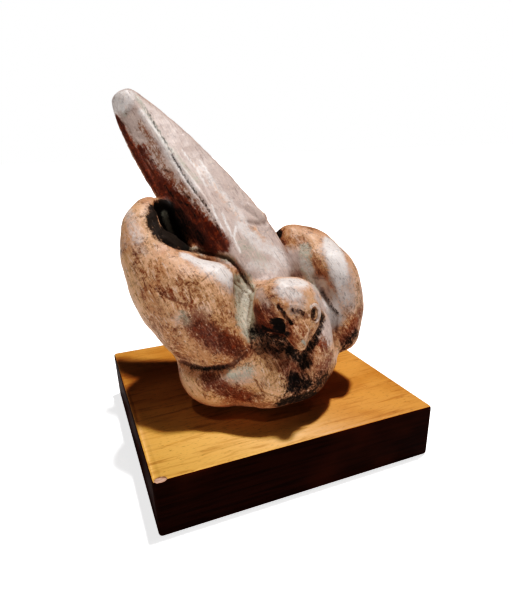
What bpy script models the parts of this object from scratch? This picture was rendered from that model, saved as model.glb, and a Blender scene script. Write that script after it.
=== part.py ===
"""A terracotta pigeon with its tail raised and its head tucked on its breast, on a square wooden base."""

import math

import bmesh
import bpy
import numpy as np
from mathutils import Matrix, Vector

# Driving dimensions, in metres
BASE_SIDE = 0.184
BASE_THICKNESS = 0.038
BASE_EDGE_RADIUS = 0.0022
FIGURE_HEIGHT = 0.200
SEAT_GAP = 0.0003

# How finely the clay is fused, smoothed and kept
VOXEL = FIGURE_HEIGHT / 100
SOFT_ROUNDS = 18
BACK_ROUNDS = 60
FIRM_ROUNDS = 5
FACES_KEPT = 8600
BALL_FINENESS, SWELL_FINENESS = 3, 5
BASE_EDGE_SEGMENTS = 3

# The pigeon's masses are given as shares of its height above the base's top. X runs to the bird's left,
# Y to its back and Z up. A ball is (x, y, z, radius), and clay is wrapped round the balls of a group.

# Rounded masses of the belly, the right wing, the left wing and the rump: (centre, radii, turn in degrees)
SWELLS = (
    ((-0.020, -0.100, 0.178), (0.258, 0.275, 0.202), 0),
    ((-0.172, -0.155, 0.132), (0.130, 0.150, 0.118), 0),
    ((-0.225, -0.110, 0.330), (0.140, 0.115, 0.160), 35),
    ((-0.275, -0.060, 0.380), (0.125, 0.120, 0.150), 20),
    ((-0.265, 0.070, 0.430), (0.112, 0.140, 0.180), 20),
    ((0.262, -0.110, 0.318), (0.112, 0.130, 0.170), 0),
    ((0.235, 0.010, 0.370), (0.125, 0.160, 0.170), -15),
    ((-0.020, 0.120, 0.300), (0.190, 0.150, 0.170), 0),
)
TRUNK = (
    (-0.040, -0.040, 0.240, 0.200),
    (-0.020, 0.120, 0.320, 0.130),
    (0.100, 0.020, 0.380, 0.080),
    (0.000, -0.100, 0.340, 0.090),
)
NECK = (
    (0.030, -0.100, 0.350, 0.070),
    (0.020, -0.230, 0.330, 0.075),
)
BREAST = (
    (-0.055, -0.268, 0.150, 0.120),
    (0.050, -0.265, 0.145, 0.118),
    (0.122, -0.235, 0.170, 0.102),
    (0.130, -0.200, 0.280, 0.090),
)
HEAD = (
    (-0.002, -0.285, 0.365, 0.087),
    (0.035, -0.285, 0.356, 0.092),
    (0.030, -0.220, 0.345, 0.080),
)
BEAK = (
    (0.055, -0.325, 0.325, 0.049),
    (0.005, -0.345, 0.329, 0.029),
    (0.004, -0.382, 0.296, 0.032),
    (0.012, -0.397, 0.267, 0.014),
)
# The right wing's shoulder, the lip that curls up from it, and the feathers behind the lip
SHOULDER = (-0.255, -0.060, 0.415, 0.083)
ELBOW = (-0.313, -0.040, 0.394, 0.098)
LIP = (
    (-0.350, 0.000, 0.506, 0.073),
    (-0.343, 0.050, 0.586, 0.061),
    (-0.298, 0.100, 0.622, 0.059),
)
RIGHT_WING_FRONT = (
    ELBOW,
    SHOULDER,
    (-0.235, -0.115, 0.228, 0.088),
    (-0.166, -0.200, 0.257, 0.087),
    (-0.172, -0.190, 0.323, 0.077),
    (-0.155, -0.130, 0.405, 0.080),
)
RIGHT_WING_LIP = (ELBOW, SHOULDER, *LIP)
RIGHT_WING_BACK = (
    *LIP,
    (-0.228, 0.170, 0.606, 0.045),
    (-0.250, 0.150, 0.420, 0.080),
    (-0.190, 0.160, 0.380, 0.080),
    (-0.200, 0.050, 0.280, 0.100),
)
LEFT_WING = (
    (0.182, 0.030, 0.500, 0.057),
    (0.249, -0.020, 0.458, 0.075),
    (0.306, -0.080, 0.384, 0.075),
    (0.296, -0.150, 0.274, 0.080),
    (0.252, -0.200, 0.205, 0.075),
    (0.209, -0.160, 0.316, 0.068),
    (0.190, 0.080, 0.380, 0.080),
    (0.130, 0.130, 0.350, 0.080),
)
# The hollow between the right wing's lip and the tail
POCKET = (
    (-0.258, 0.075, 0.615, 0.044),
    (-0.252, 0.025, 0.575, 0.042),
    (-0.205, 0.005, 0.535, 0.030),
    (-0.215, 0.090, 0.480, 0.045),
)
SOFT_GROUPS = (TRUNK, NECK, BREAST, RIGHT_WING_FRONT, RIGHT_WING_LIP, RIGHT_WING_BACK, LEFT_WING)
FIRM_GROUPS = (HEAD, BEAK)

# The back and tail pass through stations from the neck to the tip, each with its ridge, right edge,
# left edge and keel
TAIL_STATIONS = (
    (
        (-0.049, -0.120, 0.401, 0.016),
        (-0.080, -0.040, 0.400, 0.040),
        (0.070, -0.110, 0.390, 0.040),
        (0.020, 0.050, 0.280, 0.100),
    ),
    (
        (-0.108, 0.000, 0.586, 0.016),
        (-0.175, 0.040, 0.520, 0.020),
        (0.070, 0.052, 0.582, 0.021),
        (-0.030, 0.190, 0.420, 0.060),
    ),
    (
        (-0.178, 0.220, 0.783, 0.017),
        (-0.263, 0.260, 0.738, 0.021),
        (-0.086, 0.270, 0.818, 0.022),
        (-0.165, 0.340, 0.700, 0.030),
    ),
    (
        (-0.290, 0.405, 0.980, 0.035),
        (-0.300, 0.425, 0.968, 0.037),
        (-0.270, 0.430, 0.982, 0.040),
        (-0.270, 0.450, 0.950, 0.040),
    ),
)
TAIL_STEPS = 12

# Creases pressed in with a tool, each a line, a half width and a depth, and the part of a crease's
# length over which each end of it fades out
END_SHARE = 0.2
VALLEY_LEFT_OF_HEAD = (
    (-0.190, -0.300, 0.190),
    (-0.143, -0.324, 0.240),
    (-0.115, -0.300, 0.290),
    (-0.100, -0.250, 0.345),
    (-0.085, -0.190, 0.400),
    (-0.075, -0.120, 0.450),
)
RIGHT_WING_UNDERSIDE = (
    (-0.330, -0.090, 0.185),
    (-0.295, -0.169, 0.186),
    (-0.240, -0.259, 0.190),
    (-0.185, -0.305, 0.205),
    (-0.143, -0.324, 0.235),
    (-0.125, -0.330, 0.260),
)
HOLLOW_UNDER_HEAD = (
    (-0.085, -0.300, 0.305),
    (-0.062, -0.335, 0.288),
    (-0.030, -0.350, 0.268),
    (0.005, -0.360, 0.245),
)
VALLEY_UNDER_BEAK = (
    (0.040, -0.350, 0.250),
    (0.033, -0.361, 0.223),
    (0.024, -0.372, 0.197),
    (0.007, -0.381, 0.171),
    (-0.010, -0.380, 0.120),
)
LEFT_WING_FRONT = (
    (0.175, -0.150, 0.400),
    (0.184, -0.202, 0.365),
    (0.187, -0.245, 0.329),
    (0.216, -0.260, 0.280),
    (0.205, -0.290, 0.200),
    (0.190, -0.300, 0.140),
)
BESIDE_THE_BEAK = (
    (0.150, -0.270, 0.320),
    (0.136, -0.290, 0.303),
    (0.096, -0.325, 0.263),
    (0.054, -0.354, 0.229),
    (0.030, -0.365, 0.205),
)
BODY_CREASES = (
    (VALLEY_LEFT_OF_HEAD, 0.050, 0.026),
    (RIGHT_WING_UNDERSIDE, 0.034, 0.020),
    (HOLLOW_UNDER_HEAD, 0.062, 0.042),
    (VALLEY_UNDER_BEAK, 0.045, 0.028),
    (LEFT_WING_FRONT, 0.045, 0.032),
)
LATE_CREASES = ((BESIDE_THE_BEAK, 0.030, 0.014),)

# The extra smoothing of the back sets in between these depths
CALM_FROM, CALM_FULL = -0.02, 0.10


def material(name, colour, roughness):
    """A plain Principled material."""
    made = bpy.data.materials.new(name)
    made.use_nodes = True
    shader = made.node_tree.nodes["Principled BSDF"]
    shader.inputs["Base Color"].default_value = (*colour, 1.0)
    shader.inputs["Roughness"].default_value = roughness
    shader.inputs["Metallic"].default_value = 0.0
    return made


def add_object(name, mesh):
    made = bpy.data.objects.new(name, mesh)
    bpy.context.scene.collection.objects.link(made)
    return made


def place(share):
    """A point given in shares of the figure's height, in metres above the base's top."""
    return Vector(share) * FIGURE_HEIGHT


def put_into(clay, piece):
    mesh = bpy.data.meshes.new("piece")
    piece.to_mesh(mesh)
    piece.free()
    clay.from_mesh(mesh)
    bpy.data.meshes.remove(mesh)


def wrap(clay, balls):
    """Adds the convex hull of a group of balls."""
    hull = bmesh.new()
    for x, y, z, radius in balls:
        where = Matrix.Translation(place((x, y, z)))
        size = radius * FIGURE_HEIGHT
        bmesh.ops.create_icosphere(hull, subdivisions=BALL_FINENESS, radius=size, matrix=where)
    bmesh.ops.delete(hull, geom=hull.edges[:] + hull.faces[:], context="EDGES_FACES")
    result = bmesh.ops.convex_hull(hull, input=hull.verts[:])
    inner = [item for item in result["geom_interior"] if isinstance(item, bmesh.types.BMVert)]
    bmesh.ops.delete(hull, geom=inner, context="VERTS")
    bmesh.ops.recalc_face_normals(hull, faces=hull.faces[:])
    put_into(clay, hull)


def share_of(station, at, count):
    """How much one of several stations counts on the smooth curve through them all."""
    return math.prod((at - other) / (station - other) for other in range(count) if other != station)


def loft(clay, stations, steps):
    """Wraps clay round balls that run smoothly through the stations, one short length after another."""
    rows = np.array(stations)
    count = len(rows)
    lengths = []
    for at in np.linspace(0, count - 1, steps + 1):
        shares = [share_of(station, at, count) for station in range(count)]
        lengths.append(np.tensordot(shares, rows, axes=1))
    for near, far in zip(lengths, lengths[1:]):
        wrap(clay, [*near, *far])


def swell(clay, centre, radii, turn):
    """Adds one ellipsoid of clay, turned about its upright axis."""
    ball = bmesh.new()
    bmesh.ops.create_icosphere(ball, subdivisions=SWELL_FINENESS, radius=1.0)
    bmesh.ops.scale(ball, vec=Vector(radii) * FIGURE_HEIGHT, verts=ball.verts)
    bmesh.ops.rotate(ball, matrix=Matrix.Rotation(math.radians(turn), 3, "Z"), verts=ball.verts)
    bmesh.ops.translate(ball, vec=place(centre), verts=ball.verts)
    put_into(clay, ball)


def fused(clay, rounds):
    """The clay's pieces made one skin, smoothed so that the joins become soft creases."""
    mesh = bpy.data.meshes.new("clay")
    clay.to_mesh(mesh)
    clay.free()
    lump = add_object("lump", mesh)
    skin = lump.modifiers.new("one skin", "REMESH")
    skin.mode = "VOXEL"
    skin.voxel_size = VOXEL
    soften = lump.modifiers.new("soften", "SMOOTH")
    soften.factor = 0.5
    soften.iterations = rounds
    graph = bpy.context.evaluated_depsgraph_get()
    done = bpy.data.meshes.new_from_object(lump.evaluated_get(graph))
    bpy.data.objects.remove(lump)
    bpy.data.meshes.remove(mesh)
    return done


def calmed(mesh, rounds):
    """The mesh with the bird's back smoothed further, and its front left as it is."""
    lump = add_object("lump", mesh)
    back = lump.vertex_groups.new(name="back")
    for vertex in mesh.vertices:
        share = (vertex.co.y / FIGURE_HEIGHT - CALM_FROM) / (CALM_FULL - CALM_FROM)
        back.add([vertex.index], min(1.0, max(0.0, share)), "REPLACE")
    soften = lump.modifiers.new("soften", "SMOOTH")
    soften.factor = 0.5
    soften.iterations = rounds
    soften.vertex_group = "back"
    graph = bpy.context.evaluated_depsgraph_get()
    done = bpy.data.meshes.new_from_object(lump.evaluated_get(graph))
    bpy.data.objects.remove(lump)
    return done


def scooped(mesh, balls):
    """The mesh with a hollow taken out of it, as wide as the wrapped balls."""
    lump = add_object("lump", mesh)
    hollow = bmesh.new()
    wrap(hollow, balls)
    cutter_mesh = bpy.data.meshes.new("cutter")
    hollow.to_mesh(cutter_mesh)
    hollow.free()
    cutter = add_object("cutter", cutter_mesh)
    cut = lump.modifiers.new("hollow", "BOOLEAN")
    cut.operation = "DIFFERENCE"
    cut.object = cutter
    graph = bpy.context.evaluated_depsgraph_get()
    done = bpy.data.meshes.new_from_object(lump.evaluated_get(graph))
    bpy.data.objects.remove(lump)
    bpy.data.objects.remove(cutter)
    return done


def press(mesh, line, width, depth):
    """Pushes the surface in along a line, most on the line and not at all at its width or its ends."""
    places = np.empty((len(mesh.vertices), 3), np.float32)
    normals = np.empty((len(mesh.vertices), 3), np.float32)
    mesh.vertices.foreach_get("co", places.ravel())
    mesh.vertices.foreach_get("normal", normals.ravel())
    points = np.array(line) * FIGURE_HEIGHT
    length = np.linalg.norm(np.diff(points, axis=0), axis=1).sum()
    away = np.full(len(places), np.inf)
    passed = np.zeros(len(places))
    before = 0.0
    for start, end in zip(points, points[1:]):
        run = end - start
        along = np.clip((places - start) @ run / (run @ run), 0.0, 1.0)
        distance = np.linalg.norm(places - start - along[:, None] * run, axis=1)
        nearer = distance < away
        away[nearer] = distance[nearer]
        passed[nearer] = (before + along * np.linalg.norm(run))[nearer]
        before += np.linalg.norm(run)
    share = np.clip(1.0 - (away / (width * FIGURE_HEIGHT)) ** 2, 0.0, None) ** 2
    share *= np.clip(np.minimum(passed, length - passed) / (END_SHARE * length), 0.0, 1.0)
    places -= normals * (share * depth * FIGURE_HEIGHT)[:, None]
    mesh.vertices.foreach_set("co", places.ravel())
    mesh.update()


def reduced(mesh, faces):
    """The mesh with about this many triangles, most of them where it bends."""
    lump = add_object("lump", mesh)
    fewer = lump.modifiers.new("fewer faces", "DECIMATE")
    fewer.ratio = faces / (2 * len(mesh.polygons))
    graph = bpy.context.evaluated_depsgraph_get()
    done = bpy.data.meshes.new_from_object(lump.evaluated_get(graph))
    bpy.data.objects.remove(lump)
    return done


def flatten_underside(mesh):
    """Cuts the clay off flat where it rests on the base."""
    clay = bmesh.new()
    clay.from_mesh(mesh)
    everything = clay.verts[:] + clay.edges[:] + clay.faces[:]
    bmesh.ops.bisect_plane(clay, geom=everything, plane_co=(0, 0, 0), plane_no=(0, 0, -1), clear_outer=True)
    rim = [edge for edge in clay.edges if edge.is_boundary]
    bmesh.ops.holes_fill(clay, edges=rim, sides=0)
    bmesh.ops.triangulate(clay, faces=[face for face in clay.faces if len(face.verts) > 4])
    bmesh.ops.recalc_face_normals(clay, faces=clay.faces[:])
    clay.to_mesh(mesh)
    clay.free()


def make_pigeon():
    clay = bmesh.new()
    for mass in SWELLS:
        swell(clay, *mass)
    for group in SOFT_GROUPS:
        wrap(clay, group)
    body = scooped(calmed(fused(clay, SOFT_ROUNDS), BACK_ROUNDS), POCKET)
    for crease in BODY_CREASES:
        press(body, *crease)
    clay = bmesh.new()
    clay.from_mesh(body)
    for group in FIRM_GROUPS:
        wrap(clay, group)
    loft(clay, TAIL_STATIONS, TAIL_STEPS)
    mesh = fused(clay, FIRM_ROUNDS)
    for crease in LATE_CREASES:
        press(mesh, *crease)
    mesh = reduced(mesh, FACES_KEPT)
    flatten_underside(mesh)
    mesh.name = "terracotta_pigeon"
    pigeon = add_object("terracotta_pigeon", mesh)
    pigeon.location = (0.0, 0.0, BASE_THICKNESS + SEAT_GAP)
    mesh.materials.clear()
    mesh.materials.append(material("waxed terracotta", (0.42, 0.20, 0.11), 0.4))
    mesh.shade_smooth()
    return pigeon


def make_base():
    block = bmesh.new()
    bmesh.ops.create_cube(block, size=1.0)
    bmesh.ops.scale(block, vec=(BASE_SIDE, BASE_SIDE, BASE_THICKNESS), verts=block.verts)
    mesh = bpy.data.meshes.new("wooden_base")
    block.to_mesh(mesh)
    block.free()
    base = add_object("wooden_base", mesh)
    base.location = (0.0, 0.0, BASE_THICKNESS / 2)
    edges = base.modifiers.new("eased edges", "BEVEL")
    edges.width = BASE_EDGE_RADIUS
    edges.segments = BASE_EDGE_SEGMENTS
    mesh.materials.append(material("varnished wood", (0.20, 0.08, 0.03), 0.3))
    return base


for old in list(bpy.data.objects):
    bpy.data.objects.remove(old)
make_base()
make_pigeon()
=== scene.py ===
"""Looks of the terracotta pigeon on its wooden base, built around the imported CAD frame."""
import math
import random

import bmesh
import bpy
import numpy as np
from mathutils import Matrix, Vector, kdtree, noise
from mathutils.bvhtree import BVHTree


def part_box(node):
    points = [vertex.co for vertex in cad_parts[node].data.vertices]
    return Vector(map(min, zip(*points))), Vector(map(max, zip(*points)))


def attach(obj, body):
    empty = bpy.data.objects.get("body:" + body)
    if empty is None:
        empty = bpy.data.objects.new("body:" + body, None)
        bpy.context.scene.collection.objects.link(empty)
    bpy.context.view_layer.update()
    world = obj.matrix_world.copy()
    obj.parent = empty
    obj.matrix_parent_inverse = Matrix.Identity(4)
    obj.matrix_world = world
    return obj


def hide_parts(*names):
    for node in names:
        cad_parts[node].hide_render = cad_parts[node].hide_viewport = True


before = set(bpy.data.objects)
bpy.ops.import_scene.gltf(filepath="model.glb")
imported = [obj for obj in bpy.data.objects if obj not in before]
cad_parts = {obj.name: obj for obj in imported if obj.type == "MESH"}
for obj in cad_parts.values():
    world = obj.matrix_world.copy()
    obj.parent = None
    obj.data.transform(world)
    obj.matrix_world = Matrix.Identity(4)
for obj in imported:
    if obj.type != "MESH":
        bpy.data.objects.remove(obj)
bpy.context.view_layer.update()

MM = 0.001
base_low, base_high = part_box("wooden_base")
BASE_SIDE = base_high.x - base_low.x
BASE_TOP = base_high.z
scene = bpy.context.scene
draw = random.Random(7)

# The camera stands where the photograph was taken from; pixels are the photograph's
PHOTO_WIDTH, PHOTO_HEIGHT = 513, 600
AZIMUTH, DIP, ROLL = math.radians(21.27), math.radians(21.4), math.radians(-2.03)
FOCAL_PIXELS = 467
SENSOR_WIDTH = 36
CLIP_NEAR, CLIP_FAR = 0.01, 20
CENTRE = (PHOTO_WIDTH / 2, PHOTO_HEIGHT / 2 + 30)
EYE = Vector((-0.601, -1.622, 0.88)) * BASE_SIDE + Vector((0, 0, BASE_TOP))
FORWARD = Vector(
    (math.sin(AZIMUTH) * math.cos(DIP), math.cos(AZIMUTH) * math.cos(DIP), -math.sin(DIP))
)
LEVEL = Vector((math.cos(AZIMUTH), -math.sin(AZIMUTH), 0))
PLUMB = LEVEL.cross(FORWARD)
RIGHT = math.cos(ROLL) * LEVEL + math.sin(ROLL) * PLUMB
UP = -math.sin(ROLL) * LEVEL + math.cos(ROLL) * PLUMB


def make_camera():
    lens = bpy.data.cameras.new("camera")
    lens.sensor_width = SENSOR_WIDTH
    lens.lens = FOCAL_PIXELS / PHOTO_HEIGHT * lens.sensor_width
    lens.shift_y = (CENTRE[1] - PHOTO_HEIGHT / 2) / PHOTO_HEIGHT
    lens.clip_start, lens.clip_end = CLIP_NEAR, CLIP_FAR
    camera = bpy.data.objects.new("camera", lens)
    turned = Matrix((RIGHT, UP, -FORWARD)).transposed().to_4x4()
    turned.translation = EYE
    camera.matrix_world = turned
    scene.collection.objects.link(camera)
    scene.camera = camera


def sight(across, down):
    """Direction from the eye through a point of the photograph."""
    x, y = (across - CENTRE[0]) / FOCAL_PIXELS, (CENTRE[1] - down) / FOCAL_PIXELS
    return (FORWARD + x * RIGHT + y * UP).normalized()


# ---- clay figure


class Clay:
    """The figure's mesh as arrays, which strokes press, raise and tint."""

    def __init__(self, obj):
        self.obj = obj
        mesh = obj.data
        self.points = np.empty(len(mesh.vertices) * 3)
        mesh.vertices.foreach_get("co", self.points)
        self.points = self.points.reshape(-1, 3)
        ends = np.empty(len(mesh.edges) * 2, np.int64)
        mesh.edges.foreach_get("vertices", ends)
        self.ends = ends.reshape(-1, 2)
        self.degree = np.bincount(self.ends.ravel(), minlength=len(self.points))
        self.tint = {}
        self.refresh()

    def store(self):
        self.obj.data.vertices.foreach_set("co", self.points.ravel())
        self.obj.data.update()

    def refresh(self):
        """Takes the normals, the look-up tree and the skin that sight lines meet from this form."""
        self.store()
        mesh = self.obj.data
        normals = np.empty(len(mesh.vertices) * 3)
        mesh.vertices.foreach_get("normal", normals)
        self.normals = normals.reshape(-1, 3)
        self.tree = kdtree.KDTree(len(self.points))
        for index, point in enumerate(self.points):
            self.tree.insert(point, index)
        self.tree.balance()
        self.skin = BVHTree.FromPolygons(
            [Vector(point) for point in self.points],
            [tuple(face.vertices) for face in mesh.polygons],
        )

    def averaged(self, values):
        """Mean of the neighbours' values at each vertex."""
        total = np.zeros_like(values)
        a, b = self.ends.T
        count = len(values)
        for axis in range(values.shape[1]):
            from_b = np.bincount(a, values[b, axis], count)
            total[:, axis] = from_b + np.bincount(b, values[a, axis], count)
        return total / self.degree[:, None]

    def relaxed(self, rounds):
        points = self.points.copy()
        for _ in range(rounds):
            points += 0.5 * (self.averaged(points) - points)
        return points

    def hollowness(self, rounds):
        """Metres by which each point lies below its smoothed surroundings; ridges are negative."""
        return np.einsum("ij,ij->i", self.relaxed(rounds) - self.points, self.normals)

    def met(self, across, down):
        """The surface's point under a point of the photograph, or None beside the figure."""
        return self.skin.ray_cast(EYE, sight(across, down))[0]

    def seen(self, index, depth):
        """Whether the eye sees a vertex, or would but for clay no thicker than a depth."""
        point = Vector(self.points[index])
        hit = self.skin.ray_cast(EYE, (point - EYE).normalized())[0]
        return hit is not None and (hit - point).length < depth

    def traced(self, line, step=1.0):
        """Points on the surface under a broken line drawn on the photograph."""
        found = []
        for start, end in zip(line, line[1:]):
            count = max(1, round(math.dist(start, end) / step))
            for i in range(count + 1):
                share = i / count
                point = self.met(*(a + share * (b - a) for a, b in zip(start, end)))
                if point is not None:
                    found.append(point)
        return found

    def near(self, trail, reach):
        """{vertex: nearness, 1 on the trail and 0 at its reach}."""
        found = {}
        for point in trail:
            for _, index, distance in self.tree.find_range(point, reach):
                share = 1 - distance / reach
                if share > found.get(index, 0):
                    found[index] = share
        return found

    def press(self, trail, reach, depth, sharpness=1.0):
        """Presses a groove along a trail; a negative depth raises a ridge."""
        for index, share in self.near(trail, reach).items():
            rounded = share * share * (3 - 2 * share)
            self.points[index] -= self.normals[index] * depth * rounded ** sharpness

    def pared(self, across, down, reach, cut, lean=(0, 0, 0)):
        """Cuts a flat facet under a point of the photograph; the lean turns its normal."""
        centre = self.met(across, down)
        if centre is None:
            return
        found = self.tree.find_range(centre, reach)
        rows = np.array([index for _, index, _ in found])
        away = np.array([distance for _, _, distance in found]) / reach
        flat = self.normals[rows].mean(axis=0) + np.array(lean)
        flat /= np.linalg.norm(flat)
        over = (self.points[rows] - np.array(centre)) @ flat + cut
        fall = np.clip(2 - 2 * away, 0, 1)
        self.points[rows] -= (np.maximum(over, 0) * fall * fall * (3 - 2 * fall))[:, None] * flat

    def daub(self, name, trail, reach, amount=1.0, towards=None):
        """Adds to a tint, which fades outside a third of the reach.

        Where a point is given to face towards, only the surface that faces it is tinted.
        """
        values = self.tint.setdefault(name, np.zeros(len(self.points)))
        for index, share in self.near(trail, reach).items():
            if towards is None or (towards - self.points[index]) @ self.normals[index] > 0:
                values[index] = max(values[index], amount * min(1, 1.5 * share))


def fine_copy(node, name, cell, rounds):
    """A copy of a CAD node's form in small even faces, its facets smoothed away."""
    obj = bpy.data.objects.new(name, node.data.copy())
    scene.collection.objects.link(obj)
    even = obj.modifiers.new("even", "REMESH")
    even.mode, even.voxel_size = "VOXEL", cell
    soft = obj.modifiers.new("soft", "SMOOTH")
    soft.factor, soft.iterations = 0.5, rounds
    graph = bpy.context.evaluated_depsgraph_get()
    mesh = bpy.data.meshes.new_from_object(obj.evaluated_get(graph), depsgraph=graph)
    obj.modifiers.clear()
    obj.data = mesh
    obj.data.materials.clear()
    return obj


def refine(obj, centre, reach):
    """Halves the faces round a point, for the finest carving."""
    form = bmesh.new()
    form.from_mesh(obj.data)
    middles = {edge: (edge.verts[0].co + edge.verts[1].co) / 2 for edge in form.edges}
    edges = [edge for edge, middle in middles.items() if (middle - centre).length < reach]
    bmesh.ops.subdivide_edges(form, edges=edges, cuts=1, use_grid_fill=True)
    bmesh.ops.triangulate(form, faces=[f for f in form.faces if len(f.verts) > 4])
    form.to_mesh(obj.data)
    form.free()


def waves(points, size, shift=0.0):
    """Smooth noise of a given size in metres, about -1 to 1, at each point."""
    return np.array([noise.noise(Vector(point)) for point in points / size + shift])


FINE_CELL = 1.3 * MM
FINE_ROUNDS = 6
HEAD_CENTRE, HEAD_REACH = Vector((0.004, -0.060, BASE_TOP + 0.066)), 0.034
pigeon_obj = fine_copy(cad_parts["terracotta_pigeon"], "pigeon_clay", FINE_CELL, FINE_ROUNDS)
refine(pigeon_obj, HEAD_CENTRE, HEAD_REACH)
clay = Clay(pigeon_obj)

# Planes left by the knife, on the photograph: (across, down, reach in mm, depth of cut in mm, and
# the lean of the plane's normal, where it leans)
PARED = (
    (293, 296, 10, 0.9),
    (268, 306, 13, 0.8),
    (290, 338, 9, 1.6, -0.5, 0, -0.2),
    (310, 336, 9, 1.3, 0.5, 0, -0.2),
    (287, 330, 5, 0.9, -0.3, 0, 0),
    (307, 300, 8, 0.6),
    (262, 320, 8, 0.7),
    (225, 272, 15, 0.7),
    (327, 315, 10, 0.7),
    (200, 300, 20, 0.9),
    (165, 290, 18, 0.8),
    (190, 335, 16, 0.8),
    (275, 365, 14, 0.8),
    (310, 380, 14, 0.8),
    (240, 390, 18, 0.9),
    (300, 245, 12, 0.7),
    (345, 290, 14, 0.7),
    (132, 120, 12, 0.5),
    (160, 165, 14, 0.5),
    (195, 160, 16, 0.5),
    (232, 200, 16, 0.6),
    (262, 250, 14, 0.6),
)
for across, down, reach, cut, *lean in PARED:
    clay.pared(across, down, reach * MM, cut * MM, lean or (0, 0, 0))
clay.refresh()


def oval(centre, across, down, start=0, end=360):
    """Points of an oval on the photograph between two angles in degrees, clockwise from right."""
    steps = 24
    turns = [math.radians(start + (end - start) * i / steps) for i in range(steps + 1)]
    return [(centre[0] + across * math.cos(a), centre[1] + down * math.sin(a)) for a in turns]


def carved(marks, step=1.0):
    """Cuts or raises lines in the clay, each traced at a step in pixels."""
    for line, width, depth, *sharpness in marks:
        clay.press(clay.traced(line, step), width * MM, depth * MM, *sharpness)


# Lines on the photograph: (points, half width in mm, depth in mm, negative for a ridge, and the
# sharpness of the edges, where it isn't 1)
TAIL_RIDGE = (
    (127, 91), (144, 116), (154, 130), (164, 143), (172, 155), (186, 171),
    (199, 187), (214, 213), (229, 238), (235, 258), (246, 277),
)
WING_EDGE = (
    (164, 241), (175, 247), (194, 251), (214, 254),
    (227, 257), (238, 267), (246, 281), (252, 291),
)
INCISED = (
    (TAIL_RIDGE, 2.2, -0.5),
    (((134, 92), (144, 108), (157, 130), (172, 155)), 1.6, 0.5),
    (((172, 155), (182, 172), (190, 185), (205, 205)), 1.6, 1.1),
    (((112, 112), (127, 126), (140, 152), (150, 170), (160, 191)), 2.4, 0.7),
    (WING_EDGE, 2.2, 1.3),
    (((179, 362), (206, 369), (228, 366)), 2.2, 1.0),
    (((228, 366), (242, 358), (251, 349)), 2.2, 0.5),
    (((282.5, 285.5), (278.5, 293.5), (279.8, 300), (278.5, 307)), 1.7, 0.5),
    (((278.5, 307), (282.5, 311), (286.5, 317), (291.9, 323)), 2.0, 1.1),
    (((291.9, 323), (296, 325.5)), 1.4, 0.6),
    (((289, 320), (292, 328), (297, 333)), 1.6, 0.6),
    (((322, 290), (329, 304), (337, 314)), 2.5, 1.1),
    (((231, 280), (240, 287), (246, 292)), 1.5, 0.8),
    (((246, 281), (250, 300), (247, 322), (252, 345)), 2.2, 0.6),
    (((155, 290), (172, 300), (186, 305)), 2.0, 0.5),
    (((255, 380), (262, 392), (280, 398)), 2.0, 0.6),
    (((305, 355), (302, 370), (305, 385)), 2.2, 0.8),
    (((283, 229), (279, 237), (283, 244)), 2.4, 1.2),
)
FINE_STEP = 0.5
SOCKET = ((275, 321.5), (281.5, 321.5), (281.5, 328.5), (276, 328.5), (275, 321.5))
SOCKET_RIM = ((276, 316.6), (285.6, 318), (286.6, 331))
EYE_CENTRE = (315.0, 313.5)
FACE = (
    # nostril and the ridge above it
    (((292.5, 309.5), (297, 310.5), (304, 313)), 2.2, 1.3),
    (((290, 305), (298, 306), (306, 309.5)), 1.4, -0.4),
    # socket of the eye on the photograph's left, with its raised rim
    (SOCKET, 3.2, 1.6, 0.7),
    (SOCKET_RIM, 1.3, -0.8),
    # mound of the other eye in its ring, rimmed on the far side
    ((EYE_CENTRE, (315.2, 316)), 2.4, -0.6),
    (oval(EYE_CENTRE, 3.0, 6.6), 1.0, 0.8),
    (oval(EYE_CENTRE, 4.6, 8.8, -120, 80), 1.2, -1.0),
)
# the small step in the neck's far edge
NECK_STEP = (
    (((248, 205), (255, 210), (263, 216)), 5.0, -2.0, 0.6),
    (((250, 222), (256, 223), (264, 223.5)), 3.0, 1.6, 0.6),
)
carved(INCISED)
carved(FACE, FINE_STEP)
clay.refresh()
carved(NECK_STEP, FINE_STEP)
clay.refresh()


# ---- the modeller's hand: low dents, and scratches that run along each form

TAIL_ALONG = Vector((-0.245, 0.645, 0.725)).normalized()
TAIL_ACROSS = TAIL_ALONG.orthogonal().normalized()
TAIL_ASIDE = TAIL_ALONG.cross(TAIL_ACROSS)

# (size in mm, height in mm, shift of the noise)
DENTS = ((16, 0.35, 0.0), (6, 0.22, 9.0), (2.6, 0.10, 4.0))
# (count, greatest length in mm, half width in mm, greatest depth in mm, negative for a ridge)
SCRATCHES = ((420, 12, 1.5, 0.30), (90, 20, 1.8, -0.18))
# least share of a scratch's greatest length and depth, spread of the headings in radians, step in
# mm, and how little of the figure's long axis lies in the surface where no scratch starts
LEAST_SHARE, SPREAD, STRIDE, TOO_STEEP = 0.4, 0.45, 1.2, 0.1
# (attribute, rounds of smoothing that it is measured against, depth in mm that counts as full)
HOLLOWS = (("hollow", 40, 2.0), ("scratch", 4, 0.15))


def scratched(count, length, width, depth):
    """Presses short wandering scratches over the whole figure."""
    for _ in range(count):
        index = draw.randrange(len(clay.points))
        normal = Vector(clay.normals[index])
        along = TAIL_ALONG - TAIL_ALONG.dot(normal) * normal
        along.rotate(Matrix.Rotation(draw.gauss(0, SPREAD), 3, normal))
        if along.length < TOO_STEEP:
            continue
        along.normalize()
        trail = [Vector(clay.points[index])]
        for _ in range(int(draw.uniform(LEAST_SHARE, 1.0) * length / STRIDE)):
            _, index, _ = clay.tree.find(trail[-1] + along * STRIDE * MM)
            trail.append(Vector(clay.points[index]))
        clay.press(trail, width * MM, draw.uniform(LEAST_SHARE, 1.0) * depth * MM)


def attribute(name, values):
    layer = clay.obj.data.attributes.new(name, "FLOAT", "POINT")
    layer.data.foreach_set("value", np.ascontiguousarray(values, np.float32))


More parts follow.
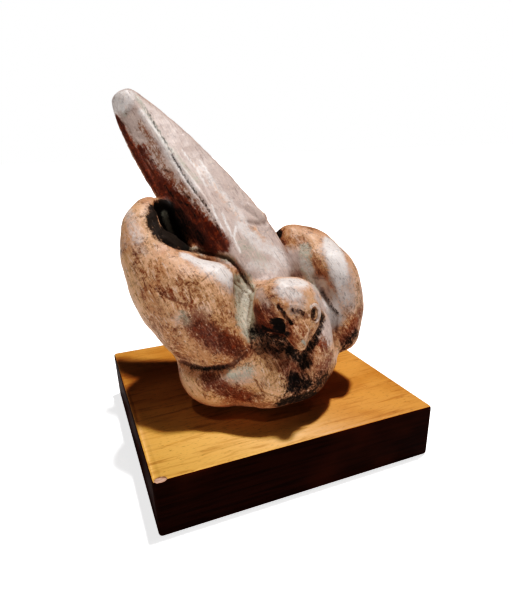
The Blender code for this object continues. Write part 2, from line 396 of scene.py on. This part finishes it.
dents = sum(waves(clay.points, size * MM, shift) * height * MM for size, height, shift in DENTS)
clay.points += clay.normals * dents[:, None]
for marks in SCRATCHES:
    scratched(*marks)
clay.refresh()
clay.obj.data.shade_smooth()
for name, rounds, full in HOLLOWS:
    attribute(name, np.clip(clay.hollowness(rounds) / (full * MM), -1, 1))

# Where each tint lies, on the photograph: (line, reach in mm, strength). The pale tint is largely
# painted highlight, the dark tint painted shade and the glint tint painted glints.
DAUBS = {
    "umber": (
        (((150, 272), (165, 285), (178, 300)), 12, 0.42),
        (((180, 278), (205, 296), (225, 312)), 12, 0.48),
        (((150, 318), (165, 340), (185, 356)), 12, 0.5),
        (((195, 318), (215, 335), (238, 348)), 12, 0.9),
        (((136, 250), (140, 268)), 8, 0.4),
        (((262, 362), (278, 374), (296, 384)), 11, 0.3),
        (((212, 384), (235, 394), (262, 404)), 12, 0.7),
        (((300, 240), (312, 256), (320, 272)), 7, 0.6),
        (((268, 290), (266, 306)), 7, 0.36),
        (((306, 318), (300, 332), (290, 336)), 7, 0.6),
        (((143, 122), (152, 145), (164, 168)), 6, 0.55),
        (((166, 172), (182, 190), (200, 214), (214, 236)), 7, 0.65),
        (((224, 150), (238, 174)), 4, 0.4),
        (((322, 340), (326, 360)), 9, 0.6),
        (((344, 305), (350, 325)), 9, 0.5),
    ),
    "tan": (
        (((132, 206), (146, 218), (150, 245)), 6, 0.9),
        (((124, 262), (130, 285), (145, 315), (168, 348)), 8, 0.7),
        (((172, 258), (190, 275), (215, 300)), 12, 0.6),
        (((210, 312), (232, 328), (240, 345)), 7, 0.7),
        (((262, 290), (270, 283)), 5, 0.6),
        (((306, 296), (314, 304), (312, 322)), 6, 0.6),
        (((262, 358), (275, 375), (285, 385)), 9, 0.8),
        (((312, 238), (320, 255), (322, 268)), 5, 0.9),
        (((292, 228), (304, 235)), 5, 0.6),
        (((348, 290), (357, 310)), 8, 0.5),
        (((186, 372), (200, 384), (215, 396)), 6, 0.7),
        (((252, 392), (272, 398)), 8, 0.7),
    ),
    "grey": (
        (((120, 98), (150, 135), (175, 170), (205, 205), (235, 240)), 24, 1.2),
        (((150, 112), (180, 138), (210, 165), (232, 190), (250, 215)), 14, 1.2),
        (((235, 235), (258, 256), (288, 264)), 20, 1.2),
        (((262, 272), (290, 276)), 7, 0.9),
        (((254, 212), (266, 230), (280, 244)), 9, 1.1),
        (((242, 262), (256, 273), (272, 277)), 7, 1.0),
        (((300, 262), (310, 275), (316, 290)), 7, 0.8),
        (((330, 250), (345, 275), (348, 305)), 12, 0.7),
        (((329, 300), (332, 316), (326, 338)), 9, 1.1),
        (((318, 298), (325, 312)), 5, 0.8),
        (((280, 290), (300, 298), (296, 308)), 8, 0.6),
        (((205, 312), (180, 320)), 8, 0.5),
        (((225, 382), (245, 376)), 8, 0.6),
        (((258, 292), (266, 304)), 6, 0.6),
        (((120, 250), (128, 235), (140, 250)), 8, 0.4),
        (((196, 262), (225, 278), (235, 292)), 9, 0.6),
    ),
    "rust": (
        (((115, 117), (122, 129), (134, 151), (146, 171), (157, 190)), 5, 1.1),
        (((140, 152), (150, 170), (163, 190), (180, 205), (200, 222)), 9, 1.0),
        (((152, 176), (168, 194), (190, 214)), 10, 1.3),
        (((172, 205), (190, 226), (212, 246)), 10, 1.3),
        (((188, 212), (205, 228), (222, 244)), 9, 1.3),
        (((222, 150), (238, 172)), 4, 0.35),
        (((150, 128), (162, 150)), 3, 0.4),
        (((144, 270), (158, 285)), 9, 0.36),
        (((168, 292), (188, 303)), 7, 0.5),
        (((198, 330), (215, 339), (232, 345)), 11, 0.85),
        (((150, 320), (166, 345), (182, 358)), 6, 0.5),
        (((257, 314), (261, 325), (278, 333)), 9, 1.3),
        (((264, 312), (276, 320)), 6, 0.9),
        (((290, 328), (294, 346)), 6, 0.6),
        (((303, 328), (300, 348)), 5, 0.4),
        (((206, 378), (228, 392), (245, 398)), 8, 0.8),
        (((245, 352), (262, 352), (278, 354)), 6, 0.45),
        (((322, 345), (330, 356), (326, 368)), 7, 0.7),
        (((288, 366), (300, 385)), 11, 0.75),
        (((345, 340), (354, 328), (360, 312)), 7, 0.8),
        (((312, 352), (322, 372)), 8, 0.6),
        (((282, 240), (288, 262)), 5, 0.5),
    ),
    "green": (
        (((236, 282), (242, 300), (242, 322)), 8, 0.9),
        (((242, 284), (252, 305), (252, 330)), 10, 1.0),
        (((305, 248), (306, 268), (316, 288)), 6, 0.7),
        (((118, 100), (124, 112)), 5, 0.5),
        (((136, 96), (155, 128), (171, 152)), 3, 0.7),
        (((172, 150), (186, 168), (198, 182)), 4, 0.5),
        (((186, 248), (215, 252), (232, 260)), 4, 0.8),
        (((232, 374), (248, 370)), 7, 0.6),
        (((246, 246), (262, 262)), 10, 0.45),
        (((182, 316), (190, 324)), 5, 0.5),
    ),
    # pale: largely painted highlights and sheen on the wings' tops and rims, the crown, face, neck
    # and breast, painted light in the valley beside the neck, and painted glints on the belly;
    # elsewhere the clay's own pale streaks
    "pale": (
        (((128, 212), (132, 226), (140, 238)), 6, 0.45),
        (((200, 261), (218, 267), (230, 279)), 9, 1.0),
        (((186, 256), (206, 263)), 6, 0.9),
        (((222, 213), (227, 225), (232, 236)), 1.3, 1.0),
        (((212, 205), (219, 222), (224, 232)), 1.2, 0.9),
        (((236, 226), (234, 238), (240, 252)), 1.3, 0.9),
        (((200, 160), (212, 178), (216, 190)), 1.3, 0.8),
        (((182, 150), (196, 168), (206, 186)), 1.3, 0.8),
        (((297, 381), (298, 382)), 0.9, 1.2),
        (((307, 391), (308, 391)), 0.9, 1.2),
        (((318, 383), (319, 384)), 0.9, 1.2),
        (((312, 398), (313, 398)), 0.8, 1.2),
        (((286, 282), (300, 282)), 9, 0.85),
        (((284, 292), (296, 294)), 7, 0.6),
        (((331, 243), (338, 262), (339, 278)), 9, 1.1),
        (((114, 108), (118, 97), (128, 93), (122, 104)), 10, 0.75),
        (((142, 112), (160, 140), (176, 164), (196, 190)), 5, 0.6),
        (((338, 285), (345, 300)), 8, 0.55),
        (((304, 262), (312, 276)), 6, 0.5),
        (((200, 168), (228, 200), (246, 222)), 6, 0.5),
        (((242, 226), (258, 244), (284, 256)), 9, 0.6),
        (((252, 266), (275, 268)), 8, 0.5),
        (((321, 284), (329, 296), (336, 318)), 8, 0.85),
        (((311.5, 306.5), (316, 304.5), (319.6, 309), (319.6, 316), (316.5, 322)), 2.0, 0.6),
        (((258, 238), (272, 250), (286, 262)), 9, 0.5),
    ),
    # dark: painted shade in the pocket, under the head and cheek, beside the beak, in the eye
    # socket and in creases and grooves, and at the wings' lower ends; on the belly's lower right
    # partly the clay's own dark colour
    "dark": (
        (((154, 206), (152, 222), (160, 235), (172, 242), (184, 246)), 6, 1.0),
        (((160, 210), (164, 226), (174, 238), (184, 244)), 9, 1.3),
        (((165, 206), (170, 220), (178, 234)), 8, 1.6),
        (((157, 211), (161, 222), (167, 233), (176, 242)), 4, 1.8),
        (((160, 211), (164, 222), (170, 233), (178, 242)), 4, 1.8),
        (((178, 212), (190, 228), (202, 240)), 6, 0.6),
        (((256, 332), (265, 337), (278, 341), (290, 347)), 8, 0.65),
        (((262, 343), (280, 349)), 6, 0.6),
        (((277, 322), (281, 328)), 5.5, 1.2),
        (((321.5, 316), (319, 328), (315, 338), (309, 349), (304, 355)), 4.6, 0.75),
        (((264, 328), (275, 332), (286, 334)), 4, 0.8),
        (((279, 306), (282.5, 311), (287, 318), (291, 323)), 2.4, 0.62),
        (((294, 309.5), (303, 312.5)), 2.6, 0.5),
        (((313.5, 310), (314, 317)), 2.2, 0.7),
        (((292, 384), (308, 388), (328, 380)), 12, 0.7),
        (((285, 402), (320, 394)), 10, 0.9),
        (((343, 350), (356, 335)), 7, 0.65),
        (((278, 229), (279, 237)), 4.5, 0.9),
        (((172, 155), (180, 169), (190, 185), (198, 196), (206, 206)), 1.5, 0.6),
        (((145, 108), (158, 130), (171, 151)), 1.3, 0.55),
        (((206, 205), (213, 217), (222, 236)), 1.3, 0.5),
        (((165, 186), (176, 200), (190, 206), (197, 218)), 1.4, 0.6),
        (((150, 158), (160, 168), (170, 172)), 1.2, 0.5),
        (((183, 192), (196, 204)), 1.3, 0.5),
        (((192, 367), (208, 369), (224, 367)), 3, 0.6),
        (((290, 350), (305, 364)), 6, 0.8),
        (((323, 292), (330, 304), (338, 314)), 1.8, 0.55),
    ),
    # painted glints in the pocket and on the beak
    "glint": (
        (((164.5, 213), (167, 222), (171, 232)), 3.0, 1.0),
        (((303, 341), (306, 345)), 1.4, 0.7),
    ),
}
DAUB_STEP = 1.2
for name, daubs in DAUBS.items():
    for line, reach, amount in daubs:
        clay.daub(name, clay.traced(line, DAUB_STEP), reach * MM, amount)

# Painted shade: the pocket behind the right wing, which the tail shades, is painted dark all the
# way down
POCKET = (
    (-0.050, 0.012, 0.153),
    (-0.049, 0.013, 0.148),
    (-0.046, 0.016, 0.142),
    (-0.044, 0.018, 0.136),
)
POCKET_REACH, POCKET_AMOUNT = 17 * MM, 1.3
pocket_trail = [Vector(point) for point in POCKET]
clay.daub("dark", pocket_trail, POCKET_REACH, POCKET_AMOUNT, towards=np.array(POCKET[1]))

# On the sides turned away from the photograph the pigments lie in broad drifts:
# (size in mm, shift of the noise, fullness, strength)
DRIFTS = {
    "umber": (24, 61.0, -0.05, 0.70),
    "grey": (36, 3.0, 0.05, 0.60),
    "tan": (26, 17.0, 0.0, 0.60),
    "rust": (38, 11.0, -0.12, 0.52),
    "green": (28, 29.0, -0.15, 0.40),
    "pale": (32, 41.0, -0.15, 0.50),
}
DRIFT_FADE = 0.6
SKIN_DEPTH = 1.5 * MM
AWAY_ROUNDS = 6
away = np.array([[0.0 if clay.seen(i, SKIN_DEPTH) else 1.0] for i in range(len(clay.points))])
for _ in range(AWAY_ROUNDS):
    away = clay.averaged(away)
for name, (size, shift, fullness, strength) in DRIFTS.items():
    drift = np.clip((waves(clay.points, size * MM, shift) + fullness) / DRIFT_FADE + 0.5, 0, 1)
    clay.tint[name] = np.maximum(clay.tint[name], strength * drift * away[:, 0])
for name, values in clay.tint.items():
    attribute(name, values)


# ---- materials


def paint(*channels):
    """A colour from its sRGB bytes."""
    linear = (c / 255 / 12.92 if c < 10 else ((c / 255 + 0.055) / 1.055) ** 2.4 for c in channels)
    return tuple(linear)


class Shader:
    """A node tree under construction."""

    def __init__(self, name):
        self.material = bpy.data.materials.new(name)
        self.material.use_nodes = True
        self.nodes, self.links = self.material.node_tree.nodes, self.material.node_tree.links
        self.surface = self.nodes["Principled BSDF"]
        self.place = self.add("ShaderNodeTexCoord").outputs["Object"]

    def add(self, kind, **settings):
        node = self.nodes.new(kind)
        for key, value in settings.items():
            setattr(node, key, value)
        return node

    def feed(self, socket, value):
        if isinstance(value, bpy.types.NodeSocket):
            self.links.new(value, socket)
        else:
            socket.default_value = value

    def turned(self, *axes):
        """The place measured along three axes."""
        joined = self.add("ShaderNodeCombineXYZ")
        for axis, socket in zip(axes, joined.inputs):
            dot = self.add("ShaderNodeVectorMath", operation="DOT_PRODUCT")
            self.feed(dot.inputs[0], self.place)
            dot.inputs[1].default_value = axis
            self.feed(socket, dot.outputs["Value"])
        return joined.outputs[0]

    def noise(self, size, detail, rough=0.55, stretch=(1, 1, 1), distortion=0.0, place=None):
        """Noise of a given size in mm; a stretch below 1 draws it out along that axis."""
        scaled = self.add("ShaderNodeVectorMath", operation="MULTIPLY")
        self.feed(scaled.inputs[0], place or self.place)
        scaled.inputs[1].default_value = tuple(1000 / size * s for s in stretch)
        node = self.add("ShaderNodeTexNoise")
        self.feed(node.inputs["Vector"], scaled.outputs[0])
        node.inputs["Scale"].default_value = 1.0
        node.inputs["Detail"].default_value = detail
        node.inputs["Roughness"].default_value = rough
        node.inputs["Distortion"].default_value = distortion
        return node.outputs["Fac"]

    def tint(self, name):
        return self.add("ShaderNodeAttribute", attribute_name=name).outputs["Fac"]

    def band(self, value, low, high, to_low=0.0, to_high=1.0):
        """Turns a value that runs from low to high into one from to_low to to_high."""
        node = self.add("ShaderNodeMapRange", interpolation_type="SMOOTHSTEP")
        for socket, number in zip(node.inputs, (value, low, high, to_low, to_high)):
            self.feed(socket, number)
        return node.outputs[0]

    def math(self, operation, a, b):
        node = self.add("ShaderNodeMath", operation=operation)
        self.feed(node.inputs[0], a)
        self.feed(node.inputs[1], b)
        return node.outputs[0]

    def mix(self, share, a, b):
        node = self.add("ShaderNodeMix", data_type="RGBA")
        self.feed(node.inputs[0], share)
        # inputs 6 and 7 and output 2 are the node's colours
        for socket, colour in ((node.inputs[6], a), (node.inputs[7], b)):
            self.feed(socket, colour if isinstance(colour, bpy.types.NodeSocket) else (*colour, 1))
        return node.outputs[2]

    def over(self, colour, pigment, value, low, high, amount):
        """Lays a pigment over a colour: none where the value is low, an amount where it is high."""
        return self.mix(self.band(value, low, high, 0.0, amount), colour, pigment)

    def bump(self, height, strength, distance):
        """Relief of the shading, its distance in mm."""
        node = self.add("ShaderNodeBump")
        node.inputs["Strength"].default_value = strength
        node.inputs["Distance"].default_value = distance * MM
        self.feed(node.inputs["Height"], height)
        self.feed(self.surface.inputs["Normal"], node.outputs[0])

    def finish(self, colour, roughness, **constants):
        """The material, with constants on the surface's sockets by their names with underscores."""
        self.feed(self.surface.inputs["Base Color"], colour)
        self.feed(self.surface.inputs["Roughness"], roughness)
        for name, value in constants.items():
            self.surface.inputs[name.replace("_", " ")].default_value = value
        return self.material


FIRED_PALE, FIRED_WARM = paint(224, 178, 144), paint(204, 150, 114)
BURNT, BLOOM, HOLLOW_DARK = paint(136, 80, 50), paint(236, 196, 160), paint(66, 34, 18)
STREAK_BROWN, STREAK_PALE = paint(112, 70, 50), paint(240, 224, 210)
SPECK_PALE = paint(240, 210, 184)
RUST_DEEP, RUST_BRIGHT, RUST_PALE = paint(94, 36, 12), paint(138, 70, 36), paint(176, 116, 80)
# the near-black after the stain and vein browns is painted shade, and the last, pale grey, is
# painted glint
STAIN, VEIN, SHADE_BLACK, GLINT_GREY = paint(84, 42, 22), paint(70, 34, 18), paint(15, 9, 5), paint(176, 180, 168)
# (attribute, colour, cover, raggedness of the edges)
PIGMENTS = (
    ("tan", paint(226, 178, 138), 0.8, 1.0),
    ("grey", paint(204, 184, 176), 0.94, 0.8),
    ("umber", paint(140, 90, 62), 0.75, 1.6),
    ("green", paint(186, 182, 164), 0.9, 1.2),
    # pale is largely painted highlight and sheen
    ("pale", paint(240, 232, 228), 0.9, 0.6),
)
# mean of the summed noises that break up the pigments' edges
RAGGED_MEAN = 1.7


def waxed_clay():
    s = Shader("waxed_terracotta")
    along = s.turned(TAIL_ALONG, TAIL_ACROSS, TAIL_ASIDE)
    broad = s.noise(26, detail=3)
    patch = s.noise(8, detail=5, rough=0.68)
    mottle = s.noise(3.2, detail=5, rough=0.72)
    speck = s.noise(1.5, detail=3, rough=0.75)
    grit = s.noise(0.6, detail=2, rough=0.6)
    streak = s.noise(1.2, 4, 0.65, stretch=(0.10, 1, 1), distortion=0.4, place=along)
    ragged = s.math("ADD", s.math("MULTIPLY", mottle, 1.5), s.math("MULTIPLY", streak, 1.1))
    ragged = s.math("ADD", ragged, s.math("MULTIPLY", speck, 0.8))
    ragged = s.math("SUBTRACT", ragged, RAGGED_MEAN)

    def laid(name, rough=1.0, full=0.9):
        """Cover of a daubed tint, its edges broken up by the ragged noise."""
        tint = s.tint(name)
        cover = s.band(s.math("ADD", tint, s.math("MULTIPLY", ragged, rough)), 0.1, full)
        return s.math("MULTIPLY", cover, s.band(tint, 0.0, 0.25))

    colour = s.mix(s.band(broad, 0.38, 0.62), FIRED_PALE, FIRED_WARM)
    colour = s.over(colour, BURNT, patch, 0.51, 0.66, 0.6)
    colour = s.over(colour, BLOOM, mottle, 0.53, 0.64, 0.6)
    # darker brown where the surface lies sunk in broad hollows
    sunk = s.band(s.tint("hollow"), 0.30, 1.0, 0.0, 0.8)
    colour = s.mix(sunk, colour, HOLLOW_DARK)
    for name, pigment, cover, rough in PIGMENTS:
        colour = s.mix(s.math("MULTIPLY", laid(name, rough), cover), colour, pigment)
    # the stain and veins thin out under the grey tint and the pale one, which is largely painted
    # highlight
    grey_and_pale = s.math("MAXIMUM", s.tint("grey"), s.tint("pale"))
    stain_share = s.band(grey_and_pale, 0.0, 1.0, 1.0, 0.35)

    # streaks drawn along the figure
    colour = s.over(colour, STREAK_BROWN, streak, 0.54, 0.68, 0.45)
    colour = s.over(colour, STREAK_PALE, streak, 0.44, 0.34, 0.4)
    colour = s.over(colour, SPECK_PALE, speck, 0.42, 0.30, 0.5)

    # rust lies over them, redder and lighter in flecks
    rust = s.mix(s.band(mottle, 0.48, 0.62), RUST_DEEP, RUST_BRIGHT)
    rust = s.over(rust, RUST_PALE, streak, 0.44, 0.34, 0.35)
    colour = s.mix(s.math("MULTIPLY", laid("rust", rough=0.9, full=1.1), 0.94), colour, rust)

    # stain in pores and scratches, thick in patches
    crowd = s.math("ADD", speck, s.band(patch, 0.38, 0.66, -0.05, 0.07))
    pores = s.band(crowd, 0.57, 0.69)
    scratches = s.band(s.tint("scratch"), 0.10, 0.85)
    stain = s.math("MULTIPLY", s.math("MAXIMUM", pores, scratches), stain_share)
    colour = s.mix(s.math("MULTIPLY", stain, 0.6), colour, STAIN)

    # thin dark veins that wander, fewest where the grey and pale tints lie, the pale being largely
    # painted highlight
    wander = s.noise(11, detail=5, rough=0.62, distortion=0.8)
    veins = s.band(s.math("ABSOLUTE", s.math("SUBTRACT", wander, 0.5), 0.0), 0.0, 0.018, 1.0, 0.0)
    veins = s.math("MULTIPLY", s.math("MULTIPLY", veins, s.band(patch, 0.42, 0.56)), stain_share)
    colour = s.mix(s.math("MULTIPLY", veins, 0.6), colour, VEIN)

    # painted shade: the dark tint turns the colour near-black
    dark = s.math("MULTIPLY", laid("dark"), 0.96)
    colour = s.mix(dark, colour, SHADE_BLACK)
    # painted glints, pale grey
    colour = s.mix(laid("glint"), colour, GLINT_GREY)
    dull = s.math("MAXIMUM", s.math("MULTIPLY", stain, 0.5), s.math("MAXIMUM", sunk, dark))
    relief = s.math("ADD", s.math("MULTIPLY", speck, 0.5), s.math("MULTIPLY", streak, 0.5))
    relief = s.math("ADD", relief, s.math("MULTIPLY", grit, 0.3))
    s.bump(relief, strength=0.7, distance=0.7)
    roughness = s.band(dull, 0.0, 1.0, 0.40, 0.85)
    return s.finish(
        colour, roughness, Specular_IOR_Level=0.25, Coat_Weight=0.08, Coat_Roughness=0.36
    )


clay.obj.data.materials.append(waxed_clay())
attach(clay.obj, "root")
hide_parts("terracotta_pigeon")


# ---- wooden base

TOP_PALE, TOP_WARM, TOP_LIT_CORNER = paint(212, 152, 84), paint(196, 132, 66), paint(240, 190, 110)
TOP_GRAIN, TOP_FIBRE, TOP_PORE = paint(160, 90, 32), paint(222, 160, 80), paint(84, 40, 14)
SIDE_BROWN, SIDE_BLACK, SIDE_CLOUD = paint(58, 21, 10), paint(38, 12, 5), paint(82, 36, 18)
BARE_PALE, BARE_BROWN = paint(206, 170, 148), paint(172, 128, 104)
EDGE_WIDTH, EDGE_STEPS = 2.2 * MM, 4
TOP_FACING = 0.7
CHIP_LENGTH, CHIP_WIDTH, CHIP_DEPTH = 8 * MM, 3.2 * MM, 1.6 * MM
CHIP_ROUGHNESS, CHIP_NOISE = 0.16, 2.2


def oiled_top():
    s = Shader("oiled_top")
    fibre = s.noise(0.9, 3, 0.6, stretch=(0.07, 1, 1), distortion=0.3)
    grain = s.noise(3.0, 4, 0.6, stretch=(0.10, 1, 1), distortion=0.5)
    cloud = s.noise(30, 3, 0.5, stretch=(0.5, 1, 1))
    pores = s.noise(0.55, 2, 0.5, stretch=(0.14, 1, 1))
    corner = s.add("ShaderNodeVectorMath", operation="DISTANCE")
    s.feed(corner.inputs[0], s.place)
    corner.inputs[1].default_value = (base_low.x + 0.03, base_low.y + 0.01, BASE_TOP)
    colour = s.mix(s.band(cloud, 0.38, 0.62), TOP_PALE, TOP_WARM)
    # painted light: a pool of light on the top near the corner that faces the photograph
    reach = s.band(corner.outputs["Value"], 0.02, 0.12, 0.8, 0.0)
    colour = s.mix(reach, colour, TOP_LIT_CORNER)
    colour = s.over(colour, TOP_GRAIN, grain, 0.50, 0.74, 0.6)
    colour = s.over(colour, TOP_FIBRE, fibre, 0.55, 0.72, 0.5)
    colour = s.over(colour, TOP_PORE, pores, 0.62, 0.72, 0.5)
    s.bump(fibre, strength=0.2, distance=0.12)
    return s.finish(colour, s.band(grain, 0.35, 0.65, 0.42, 0.55), Specular_IOR_Level=0.25)


# The sides are a much darker copy of the top's wood, partly a dark varnish and partly painted shade
# on faces the overhead light misses.
def dark_side():
    s = Shader("dark_side")
    grain = s.noise(2.2, 4, 0.6, stretch=(0.05, 1, 1), distortion=0.4)
    cloud = s.noise(45, 2, 0.5)
    colour = s.mix(s.band(grain, 0.35, 0.70), SIDE_BROWN, SIDE_BLACK)
    colour = s.over(colour, SIDE_CLOUD, cloud, 0.45, 0.70, 0.6)
    s.bump(grain, strength=0.15, distance=0.1)
    return s.finish(colour, 0.45, Specular_IOR_Level=0.02)


def bare_wood():
    s = Shader("bare_wood")
    fibre = s.noise(0.8, 3, 0.6, stretch=(0.1, 1, 1))
    s.bump(fibre, strength=0.4, distance=0.2)
    return s.finish(s.mix(s.band(fibre, 0.35, 0.65), BARE_PALE, BARE_BROWN), 0.7)


def settled(obj):
    """Applies an object's modifiers."""
    graph = bpy.context.evaluated_depsgraph_get()
    obj.data = bpy.data.meshes.new_from_object(obj.evaluated_get(graph), depsgraph=graph)
    obj.modifiers.clear()


def make_chip(material):
    """The splinter lost from the top edge beside the near corner, as a cutter."""
    form = bmesh.new()
    bmesh.ops.create_icosphere(form, subdivisions=3, radius=1)
    corner = Vector((base_low.x + 0.6 * CHIP_LENGTH, base_low.y, BASE_TOP))
    for vert in form.verts:
        rough = 1 + CHIP_ROUGHNESS * noise.noise(vert.co * CHIP_NOISE)
        x, y, z = vert.co
        vert.co = Vector((x * CHIP_LENGTH / 2, y * CHIP_WIDTH, z * CHIP_DEPTH)) * rough
        vert.co += corner
    mesh = bpy.data.meshes.new("chip")
    form.to_mesh(mesh)
    form.free()
    mesh.materials.append(material)
    chip = bpy.data.objects.new("chip", mesh)
    scene.collection.objects.link(chip)
    return chip


def make_base():
    mesh = bpy.data.meshes.new("plinth_wood")
    form = bmesh.new()
    bmesh.ops.create_cube(form, size=1)
    bmesh.ops.scale(form, vec=base_high - base_low, verts=form.verts)
    bmesh.ops.translate(form, vec=(base_low + base_high) / 2, verts=form.verts)
    form.to_mesh(mesh)
    form.free()
    base = bpy.data.objects.new("plinth_wood", mesh)
    scene.collection.objects.link(base)
    soft = base.modifiers.new("edges", "BEVEL")
    soft.width, soft.segments = EDGE_WIDTH, EDGE_STEPS
    side, top, bare = dark_side(), oiled_top(), bare_wood()
    for material in (side, top, bare):
        base.data.materials.append(material)
    settled(base)
    # the top takes the light wood, the sides the darker copy with its painted shade
    for face in base.data.polygons:
        face.material_index = 1 if face.normal.z > TOP_FACING else 0
        face.use_smooth = True
    chip = make_chip(bare)
    cut = base.modifiers.new("chip", "BOOLEAN")
    cut.operation, cut.solver, cut.object = "DIFFERENCE", "EXACT", chip
    cut.material_mode = "TRANSFER"
    settled(base)
    bpy.data.objects.remove(chip)
    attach(base, "root")
    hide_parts("wooden_base")


make_base()


# ---- floor and light

FLOOR_REACH, FLOOR_DROP = 12, 0.0002
FLOOR_PALE, FLOOR_PALER = (0.88, 0.88, 0.88), (0.92, 0.92, 0.92)
FLOOR_TO_LIGHT = (0.80, 0.80, 0.80)
FLOOR_GLOW = 0.80
WORLD_LIGHT = 0.015
AIM = Vector((0, 0, 0.10))
# Two low strips, no higher than the base's top, lift the figure's sides and leave its shadow deep
STRIP_HEIGHT = BASE_TOP - 0.014
# (name, kind, place, power, size, height): a sun's size is its angle in degrees, an area light's
# size and height are its sides in metres
LIGHTS = (
    ("sun", "SUN", (0.20, 0.09, 1.07), 3.3, 5, None),
    ("overhead", "AREA", (0.24, 0.0, 1.15), 1.2, 0.35, 0.35),
    ("left", "AREA", (-1.4, -1.1, STRIP_HEIGHT), 7.5, 0.8, 0.026),
    ("right", "AREA", (1.3, -1.1, STRIP_HEIGHT), 4.5, 0.8, 0.026),
)
# A print's tones, (from, to): shadows sink, and the rest stays
TONES = ((0.034, 0.015), (0.10, 0.070), (0.236, 0.232), (0.5, 0.51))
GAMMA = 0.86
COMBINED_CURVE = 3


def make_floor():
    mesh = bpy.data.meshes.new("floor")
    signs = ((-1, -1), (1, -1), (1, 1), (-1, 1))
    corners = [(x * FLOOR_REACH, y * FLOOR_REACH, 0) for x, y in signs]
    mesh.from_pydata(corners, [], [(0, 1, 2, 3)])
    floor = bpy.data.objects.new("floor", mesh)
    scene.collection.objects.link(floor)
    floor.location.z = -FLOOR_DROP
    s = Shader("pale_floor")
    seen = s.add("ShaderNodeLightPath").outputs["Is Camera Ray"]
    pale = s.mix(s.noise(60, 2), FLOOR_PALE, FLOOR_PALER)
    s.feed(s.surface.inputs["Emission Strength"], s.band(seen, 0, 1, 0.0, FLOOR_GLOW))
    colour = s.mix(seen, FLOOR_TO_LIGHT, pale)
    white = (1, 1, 1, 1)
    mesh.materials.append(s.finish(colour, 0.9, Specular_IOR_Level=0.0, Emission_Color=white))


def add_light(name, kind, place, power, size, height):
    """A light that faces the figure."""
    data = bpy.data.lights.new(name, kind)
    data.energy = power
    if kind == "SUN":
        data.angle = math.radians(size)
    else:
        data.shape, data.size, data.size_y = "RECTANGLE", size, height
    light = bpy.data.objects.new(name, data)
    light.location = place
    light.rotation_euler = (AIM - Vector(place)).to_track_quat("-Z", "Y").to_euler()
    scene.collection.objects.link(light)


def make_world():
    """White to the camera, dim to everything else."""
    world = bpy.data.worlds.new("studio")
    world.use_nodes = True
    nodes, links = world.node_tree.nodes, world.node_tree.links
    seen = nodes.new("ShaderNodeLightPath")
    strength = nodes.new("ShaderNodeMapRange")
    strength.inputs["To Min"].default_value = WORLD_LIGHT
    strength.inputs["To Max"].default_value = 1.0
    links.new(seen.outputs["Is Camera Ray"], strength.inputs["Value"])
    links.new(strength.outputs[0], nodes["Background"].inputs["Strength"])
    nodes["Background"].inputs["Color"].default_value = (1, 1, 1, 1)
    scene.world = world


def set_tones():
    view = scene.view_settings
    view.view_transform, view.gamma, view.use_curve_mapping = "Standard", GAMMA, True
    for tone, shown in TONES:
        view.curve_mapping.curves[COMBINED_CURVE].points.new(tone, shown)
    view.curve_mapping.update()


make_camera()
make_floor()
make_world()
for light in LIGHTS:
    add_light(*light)
set_tones()
